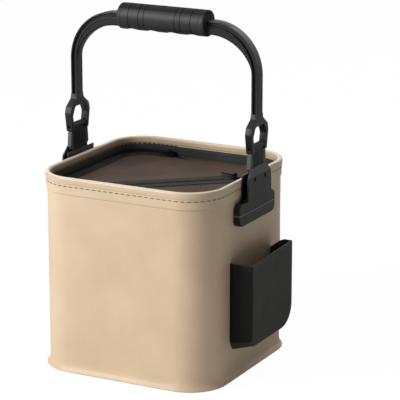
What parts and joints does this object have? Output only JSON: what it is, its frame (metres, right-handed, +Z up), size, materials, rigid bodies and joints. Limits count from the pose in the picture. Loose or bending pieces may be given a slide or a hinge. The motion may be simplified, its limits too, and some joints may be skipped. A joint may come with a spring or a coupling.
{
  "type": "collapsible fishing bucket",
  "caption": "Square collapsible water bucket with a zipped lid, a swinging bail on saddle brackets and an open side pocket.",
  "frame": {"origin": "centre of the underside of the base, on the surface it stands on", "axes": "+Z up; +X towards the side with the pocket; the plain front faces -Y"},
  "size_m": [0.2833, 0.249, 0.4495],
  "materials": {
    "wall_cloth": "coated cloth, satin",
    "foot_moulding": "satin",
    "hoop_plastic": "matte",
    "band_cloth": "matte weave",
    "lid_cloth": "matte coated",
    "zip_tape": "matte weave",
    "zip_coil": "satin",
    "slider_metal": "satin black",
    "pocket_shell": "satin",
    "bail_plastic": "satin",
    "grip_plastic": "satin",
    "bracket_plastic": "satin",
    "ear_plastic": "satin",
    "screw_steel": "blackened"
  },
  "bodies": {
    "tub": {"base_panel": "foot_moulding", "base_skirt": "foot_moulding", "side_wall": "wall_cloth", "side_pocket": "pocket_shell"},
    "rim": {"rim_band": "wall_cloth", "rim_roll": "wall_cloth", "rim_hoop": "hoop_plastic", "zip_band": "band_cloth", "lid_fixed_panel": "lid_cloth", "zip_tape_fixed": "zip_tape", "zip_coil_fixed": "zip_coil", "bracket_base_right": "bracket_plastic", "bracket_base_left": "bracket_plastic", "bracket_cover_right": "bracket_plastic", "bracket_cover_left": "bracket_plastic", "bracket_inner_plate_right": "bracket_plastic", "bracket_inner_plate_left": "bracket_plastic", "bracket_screws_right": "screw_steel", "bracket_screws_left": "screw_steel", "pivot_pin_right": "screw_steel", "pivot_pin_left": "screw_steel"},
    "bail": {"swivel_ear_right": "ear_plastic", "swivel_ear_left": "ear_plastic", "knuckle_pin_right": "screw_steel", "knuckle_pin_left": "screw_steel", "bail_frame": "bail_plastic", "grip_upper": "grip_plastic", "grip_lower": "grip_plastic", "grip_screws": "screw_steel"},
    "lid_flap": {"lid_flap_panel": "lid_cloth", "zip_tape_flap": "zip_tape", "zip_coil_flap": "zip_coil"},
    "slider_a": {"zip_slider_a": "slider_metal"},
    "pull_a": {"zip_pull_a": "slider_metal"},
    "slider_b": {"zip_slider_b": "slider_metal"},
    "pull_b": {"zip_pull_b": "slider_metal"}
  },
  "joints": [
    {"name": "collapse", "type": "slide", "parent": "tub", "child": "rim", "axis": [0, 0, -1], "range_m": [0, 0.115], "deforming": ["side_wall", "side_pocket"]},
    {"name": "bail_swing", "type": "hinge", "parent": "rim", "child": "bail", "pos_m": [0, 0, 0.236], "axis": [1, 0, 0], "range_deg": [-65, 65]},
    {"name": "lid_flap_lift", "type": "hinge", "parent": "rim", "child": "lid_flap", "pos_m": [-0.072, 0.1095, 0.229], "axis": [-0.8942, 0.4477, 0], "range_deg": [0, 50]},
    {"name": "slider_a_run", "type": "slide", "parent": "rim", "child": "slider_a", "axis": [0.766, 0.6428, 0], "range_m": [-0.2, 0]},
    {"name": "pull_a_turn", "type": "hinge", "parent": "slider_a", "child": "pull_a", "pos_m": [0.07699, 0.0426, 0.2348], "axis": [0.4909, 0.8712, 0], "range_deg": [0, 150]},
    {"name": "slider_b_run", "type": "slide", "parent": "rim", "child": "slider_b", "axis": [1, 0, 0], "range_m": [-0.016, 0]},
    {"name": "pull_b_turn", "type": "hinge", "parent": "slider_b", "child": "pull_b", "pos_m": [-0.052, 0.1095, 0.2348], "axis": [0, 1, 0], "range_deg": [0, 150]}
  ]
}
